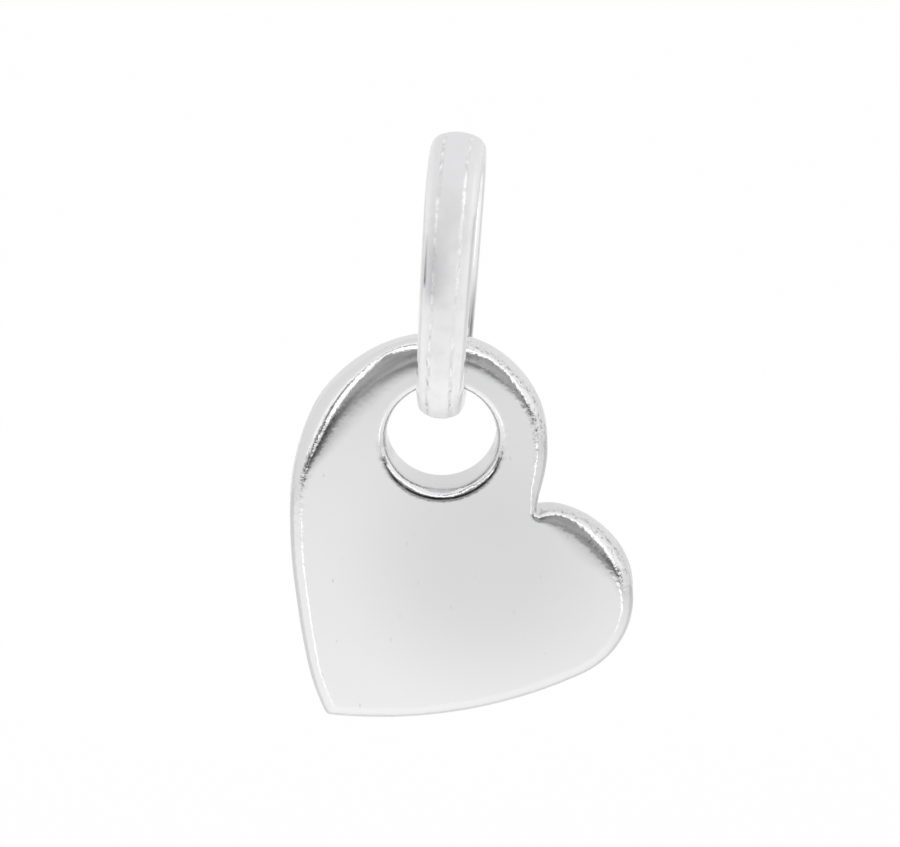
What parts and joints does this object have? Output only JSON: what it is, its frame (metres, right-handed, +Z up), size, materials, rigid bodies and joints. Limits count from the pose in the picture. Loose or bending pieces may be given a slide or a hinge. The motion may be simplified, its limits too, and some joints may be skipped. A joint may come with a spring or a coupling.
{
  "type": "heart charm",
  "caption": "Polished silver heart, uneven and soft-edged, that swings by a round hole on a closed oval link of half-round wire, for a chain or bracelet.",
  "frame": {"origin": "the chain's seat: the middle of the link's inner face at its top", "axes": "+Z up as the charm hangs, +X to the right as its front is seen; the front looks along -Y"},
  "size_m": [0.0147, 0.007, 0.0261],
  "materials": {
    "polished_silver": "polished"
  },
  "bodies": {
    "link": {"bail": "polished_silver"},
    "heart": {"heart": "polished_silver"}
  },
  "joints": [
    {"name": "heart_swing", "type": "hinge", "parent": "link", "child": "heart", "pos_m": [-0.00071, 0, -0.01198], "axis": [0, 1, 0], "range_deg": [-125, 145]}
  ]
}
